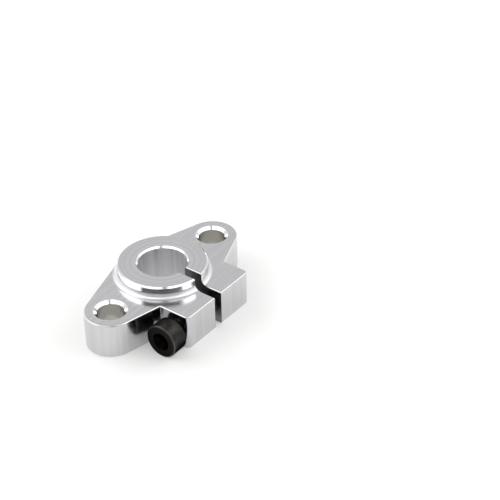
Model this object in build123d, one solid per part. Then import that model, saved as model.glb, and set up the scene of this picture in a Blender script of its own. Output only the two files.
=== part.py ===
from build123d import *
import os
from math import acos, atan2, cos, degrees, hypot, radians, tan

# Flanged shaft support block: a one-piece aluminium clamp that holds the end of a
# 10 mm shaft, with two mounting ears and a pair of slit lugs drawn together by a
# socket head cap screw.
#
# All sizes are in millimetres. The shaft axis is Z, and the back face that bolts to a
# panel lies at Z = 0. The mounting holes are spread along X, and the lugs point to -Y.

# Shaft bore and the boss around it
bore_diameter = 10.0
bore_chamfer = 0.35
boss_wall = 4.2            # metal between the bore and the outside of the boss
boss_chamfer = 0.3
boss_height = 2.5          # how far the boss stands off the flange
boss_root_radius = 1.2     # hollow corner where the boss meets the flange

# Flange
flange_thickness = 7.5
hub_margin = 0.8           # flange left outside the boss, around the back of it
hole_spacing = 32.0
mounting_hole_diameter = 5.5
mounting_hole_chamfer = 0.6
ear_wall = 2.55            # metal between a mounting hole and the end of its ear
edge_radius = 0.25         # rounding of the flange's outline, front and back

# Clamping lugs. The left one is milled back, with the ear beside it, to seat and clear
# the screw's head.
lug_width = 20.0           # across both lugs before the seat is milled
head_seat_cut = 0.6
lug_reach = 14.0           # shaft axis to the lugs' outer end
shoulder_drop = 8.0        # shaft axis to the corner where the right ear meets its lug
ear_relief = 1.0           # how much higher that corner is on the screw's side
lug_corner_radius = 1.0
shoulder_corner_radius = 0.25
slit_width = 2.0
slit_edge_break = 0.15

# Clamp screw, across the lugs along X
screw_diameter = 4.0
screw_length = 16.0        # under the head
screw_edge = 3.0           # screw axis to the lugs' outer end
screw_height = 3.6         # screw axis above the back face
screw_tip_chamfer = 0.4
head_diameter = 7.0
head_height = 3.7
head_edge_break = 0.3
head_seat_bevel = 0.3
head_standoff = 1.2        # gap between the head and its lug, under two turns from tight
socket_width = 3.0         # across the flats of the hexagon
socket_depth = 2.0
socket_chamfer = 0.15
clearance_hole_diameter = 4.5
thread_clearance = 0.05    # radial play between the screw and its tapped hole
screw_hole_chamfer = 0.3

# Worked out from the sizes above
bore_radius = bore_diameter / 2
boss_radius = bore_radius + boss_wall
hub_radius = boss_radius + hub_margin
total_height = flange_thickness + boss_height
ear_x = hole_spacing / 2
ear_radius = mounting_hole_diameter / 2 + ear_wall
tapped_face = lug_width / 2
seat_face = tapped_face - head_seat_cut
slit_x = slit_width / 2
screw_drop = lug_reach - screw_edge
head_seat_x = -seat_face - head_standoff
screw_radius = screw_diameter / 2
tapped_radius = screw_radius + thread_clearance
past = 1.0                 # how far a cutter runs past the face that it starts from


def outline_half(lug_face, shoulder):
    """The flange's outline to the left of the shaft axis, closed along that axis."""
    # The upper skin line touches the hub's circle and the ear's at the same angle
    skin_angle = 180 - degrees(acos((hub_radius - ear_radius) / ear_x))

    # The lower one runs from the shoulder to where it touches the ear
    run = ear_x - lug_face
    touch_angle = 360 - degrees(atan2(shoulder, run) + acos(ear_radius / hypot(shoulder, run)))

    with BuildSketch() as half:
        with BuildLine():
            hub = CenterArc((0, 0), hub_radius, 90, skin_angle - 90)
            ear = CenterArc((-ear_x, 0), ear_radius, skin_angle, touch_angle - skin_angle)
            Line(hub @ 1, ear @ 0)
            Polyline(
                ear @ 1,
                (-lug_face, -shoulder),
                (-lug_face, -lug_reach),
                (0, -lug_reach),
                hub @ 0,
            )
        make_face()
        for height, radius in ((-lug_reach, lug_corner_radius), (-shoulder, shoulder_corner_radius)):
            fillet(half.vertices().sort_by_distance((-lug_face, height))[0], radius)
    return half.sketch


def flange_outline():
    """Hub and ears under one skin, with the lugs squared off below them."""
    left = outline_half(seat_face, shoulder_drop - ear_relief)
    right = outline_half(tapped_face, shoulder_drop)
    return left + mirror(right, about=Plane.YZ)


def flange():
    """The flat plate, with its outline rounded front and back."""
    plate = extrude(flange_outline(), flange_thickness)
    faces = plate.faces().sort_by(Axis.Z)
    return fillet(faces[0].edges() + faces[-1].edges(), edge_radius)


def boss():
    """The turned ring round the bore: bevelled rim, straight wall, hollow root."""
    root_x = boss_radius + boss_root_radius
    root_z = flange_thickness + boss_root_radius
    sunk_z = flange_thickness - past
    with BuildPart() as ring:
        with BuildSketch(Plane.XZ):
            with BuildLine():
                root = CenterArc((root_x, root_z), boss_root_radius, 180, 90)
                Polyline(
                    root @ 0,
                    (boss_radius, total_height - boss_chamfer),
                    (boss_radius - boss_chamfer, total_height),
                    (0, total_height),
                    (0, sunk_z),
                    (root_x, sunk_z),
                    root @ 1,
                )
            make_face()
        revolve(axis=Axis.Z)
    # The root may not overhang the rounded rim where the flange is narrow
    allowed = extrude(offset(flange_outline(), -edge_radius), total_height)
    return ring.part & allowed


def hole(radius, height, front_bevel, back_bevel=0):
    """A cutter along Z for a through hole from 0 to height, bevelled at its mouths."""
    back_mouth = radius + back_bevel + past if back_bevel else radius
    with BuildPart() as cutter:
        with BuildSketch(Plane.XZ):
            with BuildLine():
                Polyline(
                    (0, -past),
                    (back_mouth, -past),
                    (radius, back_bevel),
                    (radius, height - front_bevel),
                    (radius + front_bevel + past, height + past),
                    (0, height + past),
                    (0, -past),
                )
            make_face()
        revolve(axis=Axis.Z)
    return cutter.part


def slit_groove(face_z, start_y, end_y):
    """A V cut that breaks the slit's two edges on one front face."""
    depth = slit_x + slit_edge_break
    with BuildPart() as groove:
        with BuildSketch(Plane.XZ.offset(start_y)):
            with BuildLine():
                Polyline(
                    (0, face_z - depth),
                    (depth + past, face_z + past),
                    (-depth - past, face_z + past),
                    (0, face_z - depth),
                )
            make_face()
        extrude(amount=end_y - start_y)
    return groove.part


def slit():
    """The saw cut from the bore through the lugs, with its front edges broken."""
    depth = lug_reach + past
    cut = Pos(0, -depth / 2, total_height / 2) * Box(slit_width, depth, total_height + 2 * past)
    cut += slit_groove(total_height, 0, boss_radius - boss_chamfer)
    cut += slit_groove(flange_thickness, boss_radius + boss_root_radius, depth)
    return cut


def lug_hole(radius, lug_face, side):
    """A cutter along X from the middle of the slit out through the lug on one side."""
    mouth = radius + screw_hole_chamfer
    with BuildPart() as cutter:
        with BuildSketch(Plane.XZ):
            with BuildLine():
                Polyline(
                    (0, 0),
                    (radius, 0),
                    (radius, lug_face - screw_hole_chamfer),
                    (mouth + past, lug_face + past),
                    (0, lug_face + past),
                    (0, 0),
                )
            make_face()
        revolve(axis=Axis.Z)
    place = Plane(origin=(0, -screw_drop, screw_height), x_dir=(0, 1, 0), z_dir=(side, 0, 0))
    return place * cutter.part


def support_body():
    body = flange() + boss()
    body -= hole(bore_radius, total_height, bore_chamfer, bore_chamfer)
    mounting_hole = hole(mounting_hole_diameter / 2, flange_thickness, mounting_hole_chamfer)
    for side in (-1, 1):
        body -= Pos(side * ear_x, 0, 0) * mounting_hole
    body -= slit()
    body -= lug_hole(clearance_hole_diameter / 2, seat_face, -1)
    body -= lug_hole(tapped_radius, tapped_face, 1)
    return body


def clamp_screw():
    """Cap screw in its own frame, with the head's seat at Z = 0 and the tip along +Z."""
    head_radius = head_diameter / 2
    with BuildPart() as screw:
        with BuildSketch(Plane.XZ):
            with BuildLine():
                Polyline(
                    (0, -head_height),
                    (head_radius - head_edge_break, -head_height),
                    (head_radius, -head_height + head_edge_break),
                    (head_radius, -head_seat_bevel),
                    (head_radius - head_seat_bevel, 0),
                    (screw_radius, 0),
                    (screw_radius, screw_length - screw_tip_chamfer),
                    (screw_radius - screw_tip_chamfer, screw_length),
                    (0, screw_length),
                    (0, -head_height),
                )
            make_face()
        revolve(axis=Axis.Z)

        # Hexagon socket, its mouth bevelled and its floor coned by the drill
        socket_radius = socket_width / 2 / cos(radians(30))
        drill_radius = socket_width / 2
        with BuildSketch(Plane.XY.offset(-head_height)):
            RegularPolygon(socket_radius, 6)
        extrude(amount=socket_depth, mode=Mode.SUBTRACT)
        with BuildSketch(Plane.XZ):
            with BuildLine():
                Polyline(
                    (0, -head_height - past),
                    (socket_radius + socket_chamfer + past, -head_height - past),
                    (0, -head_height + socket_radius + socket_chamfer),
                    (0, -head_height - past),
                )
            make_face()
        revolve(axis=Axis.Z, mode=Mode.SUBTRACT)
        with BuildSketch(Plane.XZ):
            with BuildLine():
                Polyline(
                    (0, -head_height + socket_depth - past),
                    (drill_radius, -head_height + socket_depth - past),
                    (drill_radius, -head_height + socket_depth),
                    (0, -head_height + socket_depth + drill_radius * tan(radians(30))),
                    (0, -head_height + socket_depth - past),
                )
            make_face()
        revolve(axis=Axis.Z, mode=Mode.SUBTRACT)
    place = Plane(origin=(head_seat_x, -screw_drop, screw_height), x_dir=(0, 1, 0), z_dir=(1, 0, 0))
    return place * screw.part


os.makedirs("parts", exist_ok=True)
export_step(support_body(), "parts/support_body.step")
export_step(clamp_screw(), "parts/clamp_screw.step")
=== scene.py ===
"""A flanged shaft support block, dressed for a studio photograph.

The block's body keeps its own form and gets a machined aluminium finish. The clamp screw
is remade with its thread, socket and rounded rims, and the tapped hole gets its thread.
"""

import math
from types import SimpleNamespace

import bmesh
import bpy
from bpy.props import FloatProperty, FloatVectorProperty, IntProperty, PointerProperty
from mathutils import Matrix, Vector


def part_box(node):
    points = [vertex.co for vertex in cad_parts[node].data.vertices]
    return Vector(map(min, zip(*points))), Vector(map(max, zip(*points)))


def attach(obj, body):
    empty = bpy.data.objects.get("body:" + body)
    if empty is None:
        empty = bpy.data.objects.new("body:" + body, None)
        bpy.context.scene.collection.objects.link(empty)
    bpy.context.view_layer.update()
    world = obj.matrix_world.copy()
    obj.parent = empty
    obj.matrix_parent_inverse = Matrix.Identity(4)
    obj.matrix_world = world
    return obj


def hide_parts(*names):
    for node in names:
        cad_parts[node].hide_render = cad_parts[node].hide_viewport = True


bl_info = {
    "name": "Shaft Support Block",
    "version": (1, 0, 0),
    "blender": (4, 5, 0),
    "location": "3D View > Sidebar > Shaft Support",
    "description": "Finishes a shaft support block and its clamp screw, and lights them on a pale floor",
    "category": "Object",
}

MM = 0.001
PER_MM = (1 / MM, 1 / MM, 1 / MM)

# Turns over which a thread's ridge runs out at both of its ends
RUN_OUT = 0.5

# The part of a normal along Z, up or down, on level faces and on upright walls
LEVEL = {"From Min": 0.85, "From Max": 0.98}
UPRIGHT = {"From Min": 0.5, "From Max": 0.2}

# The part of a normal along X on the head's face, its middle value on a rim, and the rim's spread
HEAD_FACE = {"From Min": -0.92, "From Max": -0.99}
RIM_MIDDLE = -0.55
RIM_SPREAD = {"From Min": 0.45, "From Max": 0.3}

# A noise keeps mostly between these values
NOISE_RANGE = {"From Min": 0.3, "From Max": 0.7}

# The tent's panels: name, metres from the block, degrees of azimuth from the camera, degrees
# of elevation, and the property that gives its brightness or colour
TENT = (
    ("left_strip", 0.44, (-152, -55), (27, 45), "strip"),
    ("right_strip", 0.44, (52, 116), (27, 45), "strip"),
    ("left_diffuser", 0.45, (-155, -55), (45, 66), "diffuser"),
    ("right_diffuser", 0.45, (48, 120), (45, 66), "diffuser"),
    ("edge_diffuser", 0.45, (116, 136), (23, 55), "diffuser"),
    ("left_overhead", 0.45, (-55, -1.5), (45, 66), "overhead"),
    ("right_overhead", 0.45, (15.5, 48), (45, 66), "overhead"),
    ("backdrop", 0.5, (48, 305), (0, 66), "backdrop"),
    ("pale_room", 0.5, (-55, 48), (0, 24), "room"),
    ("dark_opening", 0.5, (-55, 48), (24, 66), "opening"),
    ("ceiling", 0.5, (0, 360), (66, 90), "room"),
)

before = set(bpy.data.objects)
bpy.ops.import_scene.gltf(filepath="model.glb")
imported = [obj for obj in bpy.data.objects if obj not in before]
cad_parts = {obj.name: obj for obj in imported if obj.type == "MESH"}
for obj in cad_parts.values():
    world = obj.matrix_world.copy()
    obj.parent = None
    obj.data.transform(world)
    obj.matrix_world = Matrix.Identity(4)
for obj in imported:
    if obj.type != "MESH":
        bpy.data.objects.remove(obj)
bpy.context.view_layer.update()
screw_low, screw_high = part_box("clamp_screw")
screw_centre = (screw_low + screw_high) / 2


def linear(hex_colour):
    """An sRGB colour such as #C0FFEE as linear red, green, blue and alpha."""
    channels = [int(hex_colour[i:i + 2], 16) / 255 for i in (1, 3, 5)]
    return [c / 12.92 if c <= 0.04045 else ((c + 0.055) / 1.055) ** 2.4 for c in channels] + [1.0]


def length(name, description, millimetres):
    """A length shown in the scene's units, with its default given in millimetres."""
    return FloatProperty(
        name=name, description=description, default=millimetres * MM, unit="LENGTH", precision=5
    )


def colour(name, description, hex_colour):
    return FloatVectorProperty(
        name=name,
        description=description,
        default=linear(hex_colour),
        size=4,
        min=0.0,
        max=1.0,
        subtype="COLOR",
    )


def share(name, description, value):
    return FloatProperty(
        name=name, description=description, default=value, min=0.0, max=1.0, subtype="FACTOR"
    )


def angle(name, description, degrees):
    return FloatProperty(
        name=name, description=description, default=math.radians(degrees), subtype="ANGLE"
    )


def brightness(name, description, value):
    """How bright a lit panel is, 1 being white."""
    return FloatProperty(name=name, description=description, default=value, min=0.0)


class BlockFinish(bpy.types.PropertyGroup):
    """Bright aluminium: drawn bar, milled on its faces, turned on the boss, sawn in the slit."""

    metal: colour("Metal", "Clean cut aluminium", "#D1D1D3")
    dulled_metal: colour("Dulled metal", "Aluminium where the tool rubbed it duller", "#C8C8CA")
    # Painted light: the holes' walls are lighter and warmer, standing in for the warm floor light they
    # reflect
    painted_hole_light: colour("Drilled metal", "Walls of the mounting holes, stained by oil", "#DFDEDA")
    # Painted reflection: pale upright streaks in the bore's colour; the streaks' bumps and roughness are
    # real
    bore_reflection_streaks: colour("Reamed metal", "Streaks in the bore, burnished by the reamer", "#F0F0F2")
    # Painted highlight: a whiter tone on bevels, rounded edges and the boss's foot, wherever a face slants
    painted_bevel_highlight: colour("Cut metal", "Bevels, rounded edges and the boss's foot, cut last", "#F0F0F1")
    # Dull sawn metal, and partly painted shade: the slit's narrow walls are coloured darker
    sawn_metal_and_shade: colour("Sawn metal", "The walls of the slit", "#8C8C8C")
    wall_roughness: share("Wall roughness", "How much walls and bevels blur a reflection", 0.17)
    face_roughness: share("Face roughness", "The same on the milled and turned faces", 0.22)
    bore_roughness: share("Bore roughness", "The same in the reamed bore", 0.42)
    boss_roughness: share("Boss roughness", "The same on the boss's upright wall", 0.11)
    root_roughness: share("Root roughness", "The same in the hollow at the boss's foot", 0.4)
    sawn_roughness: share("Sawn roughness", "The same in the slit", 0.3)
    unevenness: share("Unevenness", "How far the roughness strays from patch to patch", 0.25)
    turning_pitch: length("Turning pitch", "From one turned ring to the next on the boss", 0.6)
    milling_pitch: length("Milling pitch", "From one cutter mark to the next on the faces", 0.6)
    drawing_pitch: length("Drawing pitch", "From one die line to the next on the walls", 0.8)
    mark_depth: length("Mark depth", "Depth of these marks", 0.004)
    reaming_pitch: length("Reaming pitch", "From one streak to the next round the bore", 1.2)
    reaming_depth: length("Reaming depth", "Depth of these streaks", 0.02)
    boss_foot: length("Boss foot", "Height above the back face where the boss begins", 7.5)
    boss_root: length("Boss root", "Height of the hollow at the boss's foot", 1.2)
    bore_radius: length("Bore radius", "Shaft axis to the wall of the bore", 5.0)
    slit_width: length("Slit width", "Between the two walls of the slit", 2.0)
    hole_offset: length("Hole offset", "Shaft axis to the axis of each mounting hole", 16.0)
    hole_reach: length("Hole reach", "How far the drill's marks spread round that axis", 3.5)


class ScrewSizes(bpy.types.PropertyGroup):
    """An M4 socket head cap screw."""

    pitch: length("Pitch", "From one thread to the next", 0.7)
    crest_radius: length("Crest radius", "Half of the thread's outer diameter", 2.0)
    thread_depth: length("Thread depth", "From the thread's crest to its root", 0.43)
    crest_width: length("Crest width", "Flat left on top of the thread", 0.09)
    head_height: length("Head height", "From the head's seat to its front", 3.7)
    head_rounding: length("Head rounding", "Radius of the head's front rim", 0.32)
    seat_rounding: length("Seat rounding", "Radius of the head's rim at its seat", 0.3)
    neck: length("Neck", "Plain shank between the head and the thread", 0.35)
    tip_chamfer: length("Tip chamfer", "Bevel at the screw's tip", 0.4)
    socket_width: length("Socket width", "Hexagon socket across its flats", 3.0)
    socket_depth: length("Socket depth", "Hexagon socket to where its flats end", 2.0)
    socket_chamfer: length("Socket chamfer", "Bevel round the socket's mouth", 0.15)
    steps: IntProperty(name="Steps", description="Facets in one turn of the screw", default=72, min=12)
    oxide: colour("Oxide", "Black oxide on steel, oiled", "#323130")
    worn_oxide: colour("Worn oxide", "The same where handling has thinned it", "#43413F")
    # Painted highlight: a lighter tone round the head's rounded rims
    rim_highlight_oxide: colour("Rim oxide", "The same on the head's rims, rubbed thinnest", "#565452")
    # Only a darker colour on the head's face; its roughness is the same as elsewhere
    darker_face_oxide: colour("Struck oxide", "The same on the face, matt from the die", "#272625")
    # Painted shade: near-black in the socket
    socket_shade_oxide: colour("Socket oxide", "The same in the socket, thick and oily", "#080808")
    grazing_tint: colour("Grazing tint", "Tint of a reflection at a flat angle", "#8C8C8C")
    roughness: share("Roughness", "How much the oxide blurs a reflection", 0.32)
    unevenness: share("Unevenness", "How far the roughness strays from patch to patch", 0.06)
    grain_depth: length("Grain depth", "Height of the coat's fine grain", 0.004)


class TappedThread(bpy.types.PropertyGroup):
    """The thread left open to view in the right lug, past the screw's tip."""

    hole_radius: length("Hole radius", "Wall of the tapped hole", 2.05)
    lug_face: length("Lug face", "Shaft axis to the face that the hole comes out of", 10.0)
    depth: length("Depth", "From the hole's wall to the thread's crest", 0.42)
    crest_width: length("Crest width", "Flat left on top of the thread", 0.09)
    clearance: length("Clearance", "Between the screw's tip and the first thread shown", 0.3)
    mouth: length("Mouth", "Between the last thread and the lug's face", 0.35)


class StudioStage(bpy.types.PropertyGroup):
    """White paper under the block, and a soft light tent round it, dim behind the camera."""

    azimuth: angle("Azimuth", "The camera's direction round the shaft axis, 0 looks along +Y", -52.911)
    elevation: angle("Elevation", "The camera's height above the floor", 34.846)
    roll: angle("Roll", "Turn of the camera about its own line of sight", -0.703)
    distance: length("Distance", "From the camera to the plane of the block's origin", 301.96)
    aim_right: length("Aim right", "Origin of the block right of the picture's middle", -17.464)
    aim_up: length("Aim up", "Origin of the block above the picture's middle", -10.391)
    lens: FloatProperty(
        name="Lens", description="Focal length on a 36 mm sensor", default=106.48, unit="CAMERA"
    )
    floor_reach: length("Floor reach", "From the block to the floor's nearest edges", 2000)
    paper: colour("Paper", "The floor, as the light on it shows it", "#C9C8C7")
    paper_lift: share("Paper lift", "White added, so that the open floor renders white", 0.3)
    backdrop: colour("Backdrop", "Pale cloth round the sides and back", "#E8E8E9")
    room: colour("Room", "The pale room low behind the camera, and the ceiling", "#C0C0C0")
    opening: colour("Opening", "The dark opening of the tent, behind the camera", "#787878")
    strip: brightness("Strip", "Brightness of the long lamps at the sides, 1 being white", 4.2)
    mirrored_strip: brightness("Mirrored strip", "The same in a face that mirrors them once", 1.4)
    diffuser: brightness("Diffuser", "Brightness of the lit cloth over and beside these lamps", 1.6)
    overhead: brightness("Overhead", "Brightness of the two panels over the camera", 1.9)


def add(tree, kind, inputs=None, **settings):
    """Adds a node, sets its properties, and sets or links its inputs.

    An input is given by its name, or by its number where a name repeats. A node given as the
    value of an input is linked from its first output.
    """
    node = tree.nodes.new(kind)
    for name, value in settings.items():
        setattr(node, name, value)
    shown = [socket for socket in node.inputs if socket.enabled]
    for key, value in (inputs or {}).items():
        socket = shown[key] if isinstance(key, int) else next(s for s in shown if s.name == key)
        if isinstance(value, bpy.types.Node):
            value = next(output for output in value.outputs if output.enabled)
        if isinstance(value, bpy.types.NodeSocket):
            tree.links.new(value, socket)
        else:
            socket.default_value = value
    return node


def empty_material(name):
    material = bpy.data.materials.new(name)
    material.use_nodes = True
    material.node_tree.nodes.clear()
    return material


def cut_regions(tree, finish):
    """Where the block's cuts lie, each from 0 to 1, and the places in mm that their marks follow."""
    above_flange = 0.1
    round_bore = 0.5
    beside_slit = 0.05
    slit_start = -0.985 * finish.bore_radius / MM

    place = add(tree, "ShaderNodeTexCoord").outputs
    in_mm = add(tree, "ShaderNodeMapping", {"Vector": place["Object"], "Scale": PER_MM})
    across = add(tree, "ShaderNodeMapping", {"Vector": place["Object"], "Scale": (*PER_MM[:2], 0)})
    at = add(tree, "ShaderNodeSeparateXYZ", {"Vector": in_mm}).outputs
    from_axis = add(tree, "ShaderNodeVectorMath", {0: across}, operation="LENGTH")
    aside = add(tree, "ShaderNodeMath", {0: at["X"]}, operation="ABSOLUTE")
    past_hole = add(tree, "ShaderNodeMath", {0: aside, 1: finish.hole_offset / MM}, operation="SUBTRACT")
    to_hole = add(tree, "ShaderNodeCombineXYZ", {"X": past_hole, "Y": at["Y"]})
    from_hole = add(tree, "ShaderNodeVectorMath", {0: to_hole}, operation="LENGTH")

    # Level faces, upright walls, and what slants between them
    facing = add(tree, "ShaderNodeSeparateXYZ", {"Vector": place["Normal"]}).outputs
    upward = add(tree, "ShaderNodeMath", {0: facing["Z"]}, operation="ABSOLUTE")
    face = add(tree, "ShaderNodeMapRange", {"Value": upward, **LEVEL})
    upright = add(tree, "ShaderNodeMapRange", {"Value": upward, **UPRIGHT})
    square = add(tree, "ShaderNodeMath", {0: face, 1: upright}, operation="ADD")
    slanted = add(tree, "ShaderNodeMath", {0: 1.0, 1: square}, operation="SUBTRACT")

    # What was turned, bored or drilled
    boss_start = finish.boss_foot / MM + above_flange
    boss = add(tree, "ShaderNodeMath", {0: at["Z"], 1: boss_start}, operation="GREATER_THAN")
    boss_wall = add(tree, "ShaderNodeMath", {0: boss, 1: upright}, operation="MULTIPLY")
    bore_edge = finish.bore_radius / MM + round_bore
    bore = add(tree, "ShaderNodeMath", {0: from_axis, 1: bore_edge}, operation="LESS_THAN")
    bore_wall = add(tree, "ShaderNodeMath", {0: bore, 1: upright}, operation="MULTIPLY")
    hole = add(tree, "ShaderNodeMath", {0: from_hole, 1: finish.hole_reach / MM}, operation="LESS_THAN")
    on_axis = add(tree, "ShaderNodeMath", {0: boss, 1: bore}, operation="MAXIMUM")
    turned = add(tree, "ShaderNodeMath", {0: on_axis, 1: hole}, operation="MAXIMUM")

    # The hollow at the boss's foot
    half_root = finish.boss_root / 2 / MM
    root_middle = finish.boss_foot / MM + half_root
    above_root = add(tree, "ShaderNodeMath", {0: at["Z"], 1: root_middle}, operation="SUBTRACT")
    from_root = add(tree, "ShaderNodeMath", {0: above_root}, operation="ABSOLUTE")
    fade = {"From Min": half_root, "From Max": half_root / 2}
    root = add(tree, "ShaderNodeMapRange", {"Value": from_root, **fade})

    # The walls of the slit, past the bore
    slit_edge = finish.slit_width / 2 / MM + beside_slit
    near_slit = add(tree, "ShaderNodeMath", {0: aside, 1: slit_edge}, operation="LESS_THAN")
    past_bore = add(tree, "ShaderNodeMath", {0: at["Y"], 1: slit_start}, operation="LESS_THAN")
    slit = add(tree, "ShaderNodeMath", {0: near_slit, 1: past_bore}, operation="MULTIPLY")

    return SimpleNamespace(
        in_mm=in_mm,
        across=across,
        height=at["Z"],
        from_axis=from_axis,
        from_hole=from_hole,
        face=face,
        slanted=slanted,
        boss_wall=boss_wall,
        bore=bore,
        bore_wall=bore_wall,
        hole=hole,
        turned=turned,
        root=root,
        slit=slit,
    )


def tool_marks(tree, finish, cut):
    """The height and depth of the marks of every cut, and the streaks and patches by themselves.

    Real marks are too fine to show, so these are drawn coarser.
    """
    stroke_stretch = (0.06, 1, 1)
    die_stretch = (1, 1, 0.03)
    patches_per_mm = 0.35

    radius = add(tree, "ShaderNodeMix", {"Factor": cut.hole, "A": cut.from_axis, "B": cut.from_hole})
    along_cut = add(tree, "ShaderNodeMath", {0: radius, 1: cut.height}, operation="ADD")
    fine = {"Scale": MM / finish.turning_pitch, "Detail": 2.0}
    rings = add(tree, "ShaderNodeTexNoise", {"W": along_cut, **fine}, noise_dimensions="1D")
    along_x = add(tree, "ShaderNodeMapping", {"Vector": cut.in_mm, "Scale": stroke_stretch})
    fine = {"Scale": MM / finish.milling_pitch, "Detail": 3.0}
    strokes = add(tree, "ShaderNodeTexNoise", {"Vector": along_x, **fine})
    along_z = add(tree, "ShaderNodeMapping", {"Vector": cut.in_mm, "Scale": die_stretch})
    fine = {"Scale": MM / finish.drawing_pitch, "Detail": 3.0}
    die_lines = add(tree, "ShaderNodeTexNoise", {"Vector": along_z, **fine})
    fine = {"Scale": MM / finish.reaming_pitch, "Detail": 1.0}
    streaks = add(tree, "ShaderNodeTexNoise", {"Vector": cut.across, **fine})
    coarse = {"Scale": patches_per_mm, "Detail": 4.0}
    patches = add(tree, "ShaderNodeTexNoise", {"Vector": along_x, **coarse})

    height = die_lines
    for region, marks_there in ((cut.face, strokes), (cut.turned, rings), (cut.bore, streaks)):
        height = add(tree, "ShaderNodeMix", {"Factor": region, "A": height, "B": marks_there})
    depths = {"A": finish.mark_depth, "B": finish.reaming_depth}
    depth = add(tree, "ShaderNodeMix", {"Factor": cut.bore, **depths})
    return SimpleNamespace(height=height, depth=depth, streaks=streaks, patches=patches)


def machined_aluminium(finish):
    """Aluminium bar, drawn, then milled, turned, bored, drilled and sawn.

    The eye sees bright metal that mirrors its surroundings softly. The walls have faint upright
    die lines, the boss's wall being the glossiest. The faces are silkier, with rings on the boss
    and straight cutter marks on the flange. The bevels, edges and the boss's foot have a painted
    highlight, the bore pale upright streaks of painted reflection, the holes a lighter, warmer
    tone of painted reflected light, and the slit is dull, its darker walls partly painted shade.
    """
    material = empty_material("machined_aluminium")
    tree = material.node_tree
    cut = cut_regions(tree, finish)
    marks = tool_marks(tree, finish, cut)

    marked = add(tree, "ShaderNodeMapRange", {"Value": marks.height, **NOISE_RANGE})
    metals = {"A": finish.metal, "B": finish.dulled_metal}
    tone = add(tree, "ShaderNodeMix", {"Factor": marked, **metals}, data_type="RGBA")
    # The bore's pale streaks are painted reflection, on its wall only
    streaked = {"Value": marks.streaks, "To Max": cut.bore_wall, **NOISE_RANGE}
    painted_reflection_streaks = add(tree, "ShaderNodeMapRange", streaked)
    for region, metal_there in (
        # Painted light in the mounting holes
        (cut.hole, finish.painted_hole_light),
        # Painted reflection streaks in the bore
        (painted_reflection_streaks, finish.bore_reflection_streaks),
        # Painted highlight on the slanted bevels and the boss's foot
        (cut.slanted, finish.painted_bevel_highlight),
        # The slit's darker walls: dull sawn metal and partly painted shade
        (cut.slit, finish.sawn_metal_and_shade),
    ):
        tones = {"Factor": region, "A": tone, "B": metal_there}
        tone = add(tree, "ShaderNodeMix", tones, data_type="RGBA")

    blur = finish.wall_roughness
    for region, blur_there in (
        (cut.face, finish.face_roughness),
        (cut.boss_wall, finish.boss_roughness),
        (cut.root, finish.root_roughness),
        (cut.bore_wall, finish.bore_roughness),
        (cut.slit, finish.sawn_roughness),
    ):
        blur = add(tree, "ShaderNodeMix", {"Factor": region, "A": blur, "B": blur_there})

    # The tool rubbed more or less from patch to patch, and from streak to streak in the bore
    rubs = {"Factor": cut.bore, "A": marks.patches, "B": marks.streaks}
    rubbed = add(tree, "ShaderNodeMix", rubs)
    spread = {"To Min": 1 - finish.unevenness, "To Max": 1 + finish.unevenness}
    stray = add(tree, "ShaderNodeMapRange", {"Value": rubbed, **NOISE_RANGE, **spread})
    roughness = add(tree, "ShaderNodeMath", {0: blur, 1: stray}, operation="MULTIPLY")

    relief = {"Strength": 1.0, "Distance": marks.depth, "Height": marks.height}
    bump = add(tree, "ShaderNodeBump", relief)
    metal = {"Base Color": tone, "Metallic": 1.0, "Roughness": roughness, "Normal": bump}
    shader = add(tree, "ShaderNodeBsdfPrincipled", metal)
    add(tree, "ShaderNodeOutputMaterial", {"Surface": shader})
    return material


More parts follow.
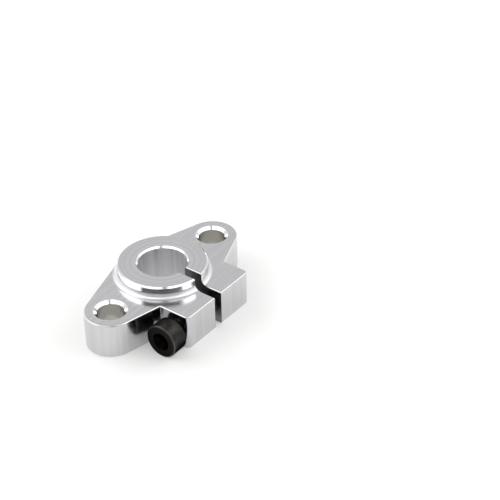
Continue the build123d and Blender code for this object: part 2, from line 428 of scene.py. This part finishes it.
def black_oxide_steel(sizes):
    """Alloy steel, forged and rolled, with an oiled black oxide coat.

    The eye sees a satin near-black, a shade browner where handling has thinned the coat, with
    a painted highlight along the head's rims. The head's face is darker, and its socket is
    black with painted shade.
    """
    patches_per_mm = 0.7
    grains_per_mm = 5.0
    thin = {"From Min": 0.4, "From Max": 0.7}

    material = empty_material("black_oxide_steel")
    tree = material.node_tree
    place = add(tree, "ShaderNodeTexCoord").outputs
    in_mm = add(tree, "ShaderNodeMapping", {"Vector": place["Object"], "Scale": PER_MM})
    patchy = {"Scale": patches_per_mm, "Detail": 5.0}
    patches = add(tree, "ShaderNodeTexNoise", {"Vector": in_mm, **patchy})
    thinned = add(tree, "ShaderNodeMapRange", {"Value": patches, **thin})

    # The head's face and its rims, from where they look: the rims get a painted highlight, and the face a
    # darker colour
    outward = add(tree, "ShaderNodeSeparateXYZ", {"Vector": place["Normal"]}).outputs["X"]
    face = add(tree, "ShaderNodeMapRange", {"Value": outward, **HEAD_FACE})
    from_rim = add(tree, "ShaderNodeMath", {0: outward, 1: RIM_MIDDLE}, operation="SUBTRACT")
    off_rim = add(tree, "ShaderNodeMath", {0: from_rim}, operation="ABSOLUTE")
    rim = add(tree, "ShaderNodeMapRange", {"Value": off_rim, **RIM_SPREAD})

    # The socket, from how near the screw's axis it is and how far in front of the seat; it gets painted
    # shade
    centred = {"Location": (0, -screw_centre.y / MM, -screw_centre.z / MM), "Scale": (0, *PER_MM[1:])}
    across = add(tree, "ShaderNodeMapping", {"Vector": place["Object"], **centred})
    from_axis = add(tree, "ShaderNodeVectorMath", {0: across}, operation="LENGTH")
    mouth_radius = sizes.socket_width / 2 / math.cos(math.radians(30)) + sizes.socket_chamfer
    near_axis = add(tree, "ShaderNodeMath", {0: from_axis, 1: mouth_radius / MM}, operation="LESS_THAN")
    along = add(tree, "ShaderNodeSeparateXYZ", {"Vector": in_mm}).outputs["X"]
    seat = (screw_low.x + sizes.head_height) / MM
    head = add(tree, "ShaderNodeMath", {0: along, 1: seat}, operation="LESS_THAN")
    socket = add(tree, "ShaderNodeMath", {0: near_axis, 1: head}, operation="MULTIPLY")

    tone = sizes.oxide
    for region, oxide_there in (
        (thinned, sizes.worn_oxide),
        # Painted highlight on the head's rims
        (rim, sizes.rim_highlight_oxide),
        # Darker on the head's face
        (face, sizes.darker_face_oxide),
        # Painted shade in the socket
        (socket, sizes.socket_shade_oxide),
    ):
        tones = {"Factor": region, "A": tone, "B": oxide_there}
        tone = add(tree, "ShaderNodeMix", tones, data_type="RGBA")

    low, high = sizes.roughness - sizes.unevenness, sizes.roughness + sizes.unevenness
    spread = {"To Min": low, "To Max": high}
    roughness = add(tree, "ShaderNodeMapRange", {"Value": patches, **NOISE_RANGE, **spread})
    grainy = {"Scale": grains_per_mm, "Detail": 3.0}
    grain = add(tree, "ShaderNodeTexNoise", {"Vector": in_mm, **grainy})
    relief = {"Strength": 1.0, "Distance": sizes.grain_depth, "Height": grain}
    bump = add(tree, "ShaderNodeBump", relief)
    shader = add(
        tree,
        "ShaderNodeBsdfPrincipled",
        {
            "Base Color": tone,
            "Metallic": 1.0,
            "Specular Tint": sizes.grazing_tint,
            "Roughness": roughness,
            "Normal": bump,
        },
    )
    add(tree, "ShaderNodeOutputMaterial", {"Surface": shader})
    return material


def new_piece(name, mesh):
    piece = bpy.data.objects.new(name, mesh)
    bpy.context.scene.collection.objects.link(piece)
    return piece


def rounded(corner_radius, corner_height, radius, start, steps=6):
    """Points on a quarter circle round a rim, as radius and height, from the start angle on."""
    points = []
    for step in range(steps + 1):
        turn = math.radians(start + 90 * step / steps)
        points.append((corner_radius + radius * math.cos(turn), corner_height + radius * math.sin(turn)))
    return points


def lathe(name, outline, steps):
    """A closed solid turned about Z from an outline of radius and height.

    The outline starts and ends on the axis.
    """
    made = bmesh.new()
    rings = []
    for radius, height in outline:
        turns = [math.tau * step / steps for step in range(steps)] if radius else [0]
        ring = [(radius * math.cos(turn), radius * math.sin(turn), height) for turn in turns]
        rings.append([made.verts.new(corner) for corner in ring])
    for low, high in zip(rings, rings[1:]):
        for step in range(steps):
            following = (step + 1) % steps
            corners = [low[step % len(low)], low[following % len(low)]]
            corners += [high[following % len(high)], high[step % len(high)]]
            made.faces.new(dict.fromkeys(corners))
    bmesh.ops.recalc_face_normals(made, faces=made.faces)
    mesh = bpy.data.meshes.new(name)
    made.to_mesh(mesh)
    made.free()
    return mesh


def final_mesh(piece):
    """Gives the piece the plain mesh that its modifiers make, and takes them off."""
    depsgraph = bpy.context.evaluated_depsgraph_get()
    mesh = bpy.data.meshes.new_from_object(piece.evaluated_get(depsgraph))
    rough = piece.data
    piece.modifiers.clear()
    piece.data = mesh
    bpy.data.meshes.remove(rough)
    return mesh


def cut(piece, cutter_mesh):
    """Takes the cutter's volume out of the piece."""
    cutter = new_piece("cutter", cutter_mesh)
    modifier = piece.modifiers.new("cut", "BOOLEAN")
    modifier.operation = "DIFFERENCE"
    modifier.solver = "EXACT"
    modifier.object = cutter
    final_mesh(piece)
    bpy.data.objects.remove(cutter)
    bpy.data.meshes.remove(cutter_mesh)


def shade(mesh, crease=math.radians(32)):
    """Smooth faces that keep their sharp edges."""
    sharpened = bmesh.new()
    sharpened.from_mesh(mesh)
    for face in sharpened.faces:
        face.smooth = True
    for edge in sharpened.edges:
        edge.smooth = len(edge.link_faces) == 2 and edge.calc_face_angle() < crease
    sharpened.to_mesh(mesh)
    sharpened.free()


def thread_tree():
    """Winds a thread's ridge round Z and joins it to the blank.

    The ridge shrinks towards both of its ends, over the run-out, which is given in turns.
    """
    end_scale = 0.04
    tree = bpy.data.node_groups.new("helical_thread", "GeometryNodeTree")
    sockets = tree.interface
    sockets.new_socket("Blank", in_out="INPUT", socket_type="NodeSocketGeometry")
    lengths = ("Pitch", "Start", "Foot Radius", "Crest Radius", "Foot Width", "Crest Width")
    for name in lengths + ("Turns", "Run-out"):
        sockets.new_socket(name, in_out="INPUT", socket_type="NodeSocketFloat")
    sockets.new_socket("Steps", in_out="INPUT", socket_type="NodeSocketInt")
    sockets.new_socket("Finish", in_out="INPUT", socket_type="NodeSocketMaterial")
    sockets.new_socket("Threaded", in_out="OUTPUT", socket_type="NodeSocketGeometry")
    given = add(tree, "NodeGroupInput").outputs

    rise = add(tree, "ShaderNodeMath", {0: given["Pitch"], 1: given["Turns"]}, operation="MULTIPLY")
    helix = add(
        tree,
        "GeometryNodeCurveSpiral",
        {
            "Resolution": given["Steps"],
            "Rotations": given["Turns"],
            "Start Radius": given["Foot Radius"],
            "End Radius": given["Foot Radius"],
            "Height": rise,
            "Reverse": True,
        },
    )
    level = add(tree, "GeometryNodeSetCurveNormal", {"Curve": helix}, mode="Z_UP")

    radii = {0: given["Crest Radius"], 1: given["Foot Radius"]}
    ridge_height = add(tree, "ShaderNodeMath", radii, operation="SUBTRACT")
    points = {}
    corners = (("Foot Width", -0.5), ("Crest Width", -0.5), ("Crest Width", 0.5), ("Foot Width", 0.5))
    for number, (width, side) in enumerate(corners, 1):
        height = ridge_height if width == "Crest Width" else 0.0
        offset = add(tree, "ShaderNodeMath", {0: given[width], 1: side}, operation="MULTIPLY")
        points[f"Point {number}"] = add(tree, "ShaderNodeCombineXYZ", {"X": height, "Y": offset})
    section = add(tree, "GeometryNodeCurvePrimitiveQuadrilateral", points, mode="POINTS")

    along = add(tree, "GeometryNodeSplineParameter").outputs["Factor"]
    to_end = add(tree, "ShaderNodeMath", {0: 1.0, 1: along}, operation="SUBTRACT")
    nearest = add(tree, "ShaderNodeMath", {0: along, 1: to_end}, operation="MINIMUM")
    turns_left = add(tree, "ShaderNodeMath", {0: nearest, 1: given["Turns"]}, operation="MULTIPLY")
    fading = {"Value": turns_left, "From Max": given["Run-out"], "To Min": end_scale}
    fade = add(tree, "ShaderNodeMapRange", fading)
    swept = {"Curve": level, "Profile Curve": section, "Scale": fade, "Fill Caps": True}
    ridge = add(tree, "GeometryNodeCurveToMesh", swept)
    lift = add(tree, "ShaderNodeCombineXYZ", {"Z": given["Start"]})
    seated = add(tree, "GeometryNodeTransform", {"Geometry": ridge, "Translation": lift})
    joined = add(tree, "GeometryNodeMeshBoolean", operation="UNION", solver="EXACT")
    for part in (given["Blank"], seated.outputs[0]):
        tree.links.new(part, joined.inputs["Mesh 2"])
    real = add(tree, "GeometryNodeRealizeInstances", {"Geometry": joined})
    finished = add(tree, "GeometryNodeSetMaterial", {"Geometry": real, "Material": given["Finish"]})
    add(tree, "NodeGroupOutput", {"Threaded": finished})
    return tree


def wind_thread(piece, values):
    """Runs the thread's node tree on the piece, with these values for its named inputs."""
    tree = bpy.data.node_groups.get("helical_thread") or thread_tree()
    modifier = piece.modifiers.new("thread", "NODES")
    modifier.node_group = tree
    for socket in tree.interface.items_tree:
        if socket.name in values:
            modifier[socket.identifier] = values[socket.name]
    return final_mesh(piece)


def screw_place(seat):
    """From a frame whose Z runs along the screw to the block's own frame."""
    turned = Matrix(((0, 0, 1), (1, 0, 0), (0, 1, 0))).to_4x4()
    return Matrix.Translation((seat, screw_centre.y, screw_centre.z)) @ turned


class SHAFTSUPPORT_OT_finish_block(bpy.types.Operator):
    """Give the block its machined aluminium finish"""

    bl_idname = "shaftsupport.finish_block"
    bl_label = "Finish Block"

    def execute(self, context):
        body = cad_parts["support_body"]
        body.material_slots[0].material = machined_aluminium(context.scene.block_finish)
        return {"FINISHED"}


class SHAFTSUPPORT_OT_add_clamp_screw(bpy.types.Operator):
    """Make the clamp screw, with its socket and thread"""

    bl_idname = "shaftsupport.add_clamp_screw"
    bl_label = "Add Clamp Screw"

    def execute(self, context):
        sizes = context.scene.screw_sizes
        head_radius = (screw_high.y - screw_low.y) / 2
        reach = screw_high.x - screw_low.x - sizes.head_height
        root_radius = sizes.crest_radius - sizes.thread_depth
        rim = sizes.head_rounding
        seat_rim = sizes.seat_rounding
        tip_radius = sizes.crest_radius - sizes.tip_chamfer

        outline = [(0, -sizes.head_height)]
        outline += rounded(head_radius - rim, rim - sizes.head_height, rim, -90)
        outline += rounded(head_radius - seat_rim, -seat_rim, seat_rim, 0)
        outline += [
            (sizes.crest_radius, 0),
            (sizes.crest_radius, sizes.neck),
            (root_radius, sizes.neck + sizes.thread_depth),
            (root_radius, reach - sizes.tip_chamfer),
            (min(root_radius, tip_radius), reach),
            (0, reach),
        ]
        screw = new_piece("clamp_screw_threaded", lathe("clamp_screw", outline, sizes.steps))
        self.cut_socket(screw, sizes)
        first_thread = sizes.neck + sizes.pitch / 2
        tip_room = sizes.pitch * 0.6
        sunk = 0.05 * MM
        foot_share = 0.86
        values = {
            "Pitch": sizes.pitch,
            "Start": first_thread,
            "Foot Radius": root_radius - sunk,
            "Crest Radius": sizes.crest_radius,
            "Foot Width": sizes.pitch * foot_share,
            "Crest Width": sizes.crest_width,
            "Turns": (reach - first_thread - tip_room) / sizes.pitch,
            "Run-out": RUN_OUT,
            "Steps": sizes.steps,
            "Finish": black_oxide_steel(sizes),
        }
        mesh = wind_thread(screw, values)
        shade(mesh)
        mesh.transform(screw_place(screw_low.x + sizes.head_height))
        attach(screw, "screw")
        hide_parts("clamp_screw")
        return {"FINISHED"}

    @staticmethod
    def cut_socket(screw, sizes):
        """Hexagon socket, with its mouth bevelled and its floor coned by the drill."""
        front = -sizes.head_height
        past = 1 * MM
        flat_radius = sizes.socket_width / 2
        corner_radius = flat_radius / math.cos(math.radians(30))
        mouth_radius = corner_radius + sizes.socket_chamfer
        floor = front + sizes.socket_depth
        cone = flat_radius * math.tan(math.radians(30))
        prism = [(0, front - past), (corner_radius, front - past), (corner_radius, floor), (0, floor)]
        mouth = [(0, front - past), (mouth_radius + past, front - past), (0, front + mouth_radius)]
        drilled = [(0, floor - past), (flat_radius, floor - past), (flat_radius, floor), (0, floor + cone)]
        round_sides = 96
        for name, outline, sides in (
            ("hexagon", prism, 6),
            ("mouth", mouth, round_sides),
            ("drilled", drilled, round_sides),
        ):
            cut(screw, lathe(name, outline, sides))


class SHAFTSUPPORT_OT_add_tapped_thread(bpy.types.Operator):
    """Line the open end of the tapped hole with its thread"""

    bl_idname = "shaftsupport.add_tapped_thread"
    bl_label = "Add Tapped Thread"

    def execute(self, context):
        sizes = context.scene.tapped_thread
        screw = context.scene.screw_sizes
        start = screw_high.x + sizes.clearance + screw.pitch / 2
        end = sizes.lug_face - sizes.mouth - screw.pitch / 2
        thread = new_piece("tapped_thread", bpy.data.meshes.new("tapped_thread"))
        sunk = 0.08 * MM
        foot_share = 0.98
        values = {
            "Pitch": screw.pitch,
            "Foot Radius": sizes.hole_radius + sunk,
            "Crest Radius": sizes.hole_radius - sizes.depth,
            "Foot Width": screw.pitch * foot_share,
            "Crest Width": sizes.crest_width,
            "Turns": (end - start) / screw.pitch,
            "Run-out": RUN_OUT,
            "Steps": screw.steps,
            "Finish": bpy.data.materials["machined_aluminium"],
        }
        mesh = wind_thread(thread, values)
        shade(mesh)
        mesh.transform(screw_place(start))
        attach(thread, "block")
        return {"FINISHED"}


def seen_rays(tree):
    """1 for the rays that should see white paper: the camera's, mirrored and refracted ones."""
    rays = add(tree, "ShaderNodeLightPath").outputs
    direct = {0: rays["Is Camera Ray"], 1: rays["Is Glossy Ray"]}
    either = add(tree, "ShaderNodeMath", direct, operation="MAXIMUM")
    any_of_them = {0: either, 1: rays["Is Transmission Ray"]}
    return add(tree, "ShaderNodeMath", any_of_them, operation="MAXIMUM")


def white_paper(stage):
    """Matt white paper. It renders white where it is open, and keeps the block's soft shadow."""
    material = empty_material("white_paper")
    tree = material.node_tree
    matt = add(tree, "ShaderNodeBsdfDiffuse", {"Color": stage.paper})
    lift = add(tree, "ShaderNodeMath", {0: seen_rays(tree), 1: stage.paper_lift}, operation="MULTIPLY")
    glow = add(tree, "ShaderNodeEmission", {"Color": linear("#FFFFFF"), "Strength": lift})
    both = add(tree, "ShaderNodeAddShader", {0: matt, 1: glow})
    add(tree, "ShaderNodeOutputMaterial", {"Surface": both})
    return material


def lit_cloth(name, shown_colour, shown=1.0, mirrored=None):
    """Cloth lit from behind, which shows one even brightness from everywhere.

    A lamp that whitens what is mirrored twice would burn out a face that mirrors it once, so
    it may show another brightness there. This goes by how often the light was mirrored, and
    not by where the camera is.
    """
    past_one_mirror = 1.5
    material = empty_material(name)
    tree = material.node_tree
    if mirrored is not None:
        rays = add(tree, "ShaderNodeLightPath").outputs
        depth = {0: rays["Ray Depth"], 1: past_one_mirror}
        first = add(tree, "ShaderNodeMath", depth, operation="LESS_THAN")
        once = add(tree, "ShaderNodeMath", {0: first, 1: rays["Is Glossy Ray"]}, operation="MULTIPLY")
        shown = add(tree, "ShaderNodeMix", {"Factor": once, "A": shown, "B": mirrored})
    glow = add(tree, "ShaderNodeEmission", {"Color": shown_colour, "Strength": shown})
    add(tree, "ShaderNodeOutputMaterial", {"Surface": glow})
    return material


def direction(azimuth, elevation):
    """Unit vector from the block towards something seen at these angles, 0 azimuth being -Y."""
    return Vector(
        (
            math.sin(azimuth) * math.cos(elevation),
            -math.cos(azimuth) * math.cos(elevation),
            math.sin(elevation),
        )
    )


def stage_piece(name, corners, faces, material):
    """A floor, a panel or a backdrop, which isn't part of the block."""
    mesh = bpy.data.meshes.new(name)
    mesh.from_pydata(corners, [], faces)
    mesh.materials.append(material)
    piece = new_piece(name, mesh)
    return piece


def tent_panel(name, reach, azimuths, elevations, material, columns=24, rows=6):
    """A patch of a dome round the block, between two azimuths and two elevations.

    Only the block and the floor see it, so it never hides them from a camera.
    """
    corners = []
    for row in range(rows + 1):
        elevation = elevations[0] + (elevations[1] - elevations[0]) * row / rows
        for column in range(columns + 1):
            azimuth = azimuths[0] + (azimuths[1] - azimuths[0]) * column / columns
            corners.append(direction(azimuth, elevation) * reach)
    faces = []
    for row in range(rows):
        for column in range(columns):
            first = row * (columns + 1) + column
            faces.append((first, first + 1, first + columns + 2, first + columns + 1))
    panel = stage_piece(name, corners, faces, material)
    panel.visible_camera = False
    return panel


class SHAFTSUPPORT_OT_add_stage(bpy.types.Operator):
    """Set the camera, the floor, the light tent and the background"""

    bl_idname = "shaftsupport.add_stage"
    bl_label = "Add Stage"

    def execute(self, context):
        stage = context.scene.studio_stage
        self.place_camera(context, stage)
        reach = stage.floor_reach
        corners = [(-reach, -reach, 0), (reach, -reach, 0), (reach, reach, 0), (-reach, reach, 0)]
        stage_piece("floor", corners, [(0, 1, 2, 3)], white_paper(stage))
        self.pitch_tent(stage)
        self.paint_world(context)
        return {"FINISHED"}

    @staticmethod
    def place_camera(context, stage):
        back = direction(stage.azimuth, stage.elevation)
        level = Vector((0, 0, 1)).cross(back).normalized()
        rise = back.cross(level)
        right = level * math.cos(stage.roll) + rise * math.sin(stage.roll)
        up = rise * math.cos(stage.roll) - level * math.sin(stage.roll)
        camera = bpy.data.objects.new("camera", bpy.data.cameras.new("camera"))
        camera.data.sensor_fit = "HORIZONTAL"
        camera.data.sensor_width = 36
        camera.data.lens = stage.lens
        camera.data.clip_start = 0.01
        camera.data.clip_end = 20
        where = back * stage.distance - right * stage.aim_right - up * stage.aim_up
        turn = Matrix((right, up, back)).transposed().to_4x4()
        camera.matrix_world = Matrix.Translation(where) @ turn
        context.scene.collection.objects.link(camera)
        context.scene.camera = camera

    @staticmethod
    def pitch_tent(stage):
        """Lit panels left, right and above the camera, and dimmer cloth everywhere else."""
        white = linear("#FFFFFF")
        cloths = {
            "strip": lit_cloth("lit_strip", white, stage.strip, stage.mirrored_strip),
            "overhead": lit_cloth("lit_overhead", white, stage.overhead),
            "diffuser": lit_cloth("lit_diffuser", white, stage.diffuser),
            "backdrop": lit_cloth("backdrop_cloth", stage.backdrop),
            "room": lit_cloth("pale_room", stage.room),
            "opening": lit_cloth("dark_opening", stage.opening),
        }
        for name, reach, azimuths, elevations, cloth in TENT:
            sides = [stage.azimuth + math.radians(azimuth) for azimuth in azimuths]
            levels = [math.radians(elevation) for elevation in elevations]
            tent_panel(name, reach, sides, levels, cloths[cloth])

    @staticmethod
    def paint_world(context):
        world = bpy.data.worlds.new("studio")
        world.use_nodes = True
        tree = world.node_tree
        tree.nodes.clear()
        white = add(tree, "ShaderNodeBackground", {"Color": linear("#FFFFFF"), "Strength": 1.0})
        add(tree, "ShaderNodeOutputWorld", {"Surface": white})
        context.scene.world = world
        context.scene.view_settings.view_transform = "Standard"


class SHAFTSUPPORT_PT_sidebar(bpy.types.Panel):
    bl_label = "Shaft Support Block"
    bl_idname = "SHAFTSUPPORT_PT_sidebar"
    bl_space_type = "VIEW_3D"
    bl_region_type = "UI"
    bl_category = "Shaft Support"

    def draw(self, context):
        for settings, operator in STEPS:
            box = self.layout.box()
            box.operator(operator)
            group = getattr(context.scene, settings)
            for name in group.bl_rna.properties.keys():
                if name not in ("rna_type", "name"):
                    box.prop(group, name)


GROUPS = {
    "block_finish": BlockFinish,
    "screw_sizes": ScrewSizes,
    "tapped_thread": TappedThread,
    "studio_stage": StudioStage,
}
STEPS = (
    ("block_finish", "shaftsupport.finish_block"),
    ("screw_sizes", "shaftsupport.add_clamp_screw"),
    ("tapped_thread", "shaftsupport.add_tapped_thread"),
    ("studio_stage", "shaftsupport.add_stage"),
)
CLASSES = (
    *GROUPS.values(),
    SHAFTSUPPORT_OT_finish_block,
    SHAFTSUPPORT_OT_add_clamp_screw,
    SHAFTSUPPORT_OT_add_tapped_thread,
    SHAFTSUPPORT_OT_add_stage,
    SHAFTSUPPORT_PT_sidebar,
)


def register():
    for item in CLASSES:
        bpy.utils.register_class(item)
    for name, group in GROUPS.items():
        setattr(bpy.types.Scene, name, PointerProperty(type=group))


def unregister():
    for name in GROUPS:
        delattr(bpy.types.Scene, name)
    for item in reversed(CLASSES):
        bpy.utils.unregister_class(item)


def main():
    register()
    bpy.ops.shaftsupport.finish_block()
    bpy.ops.shaftsupport.add_clamp_screw()
    bpy.ops.shaftsupport.add_tapped_thread()
    bpy.ops.shaftsupport.add_stage()


if __name__ == "__main__":
    main()
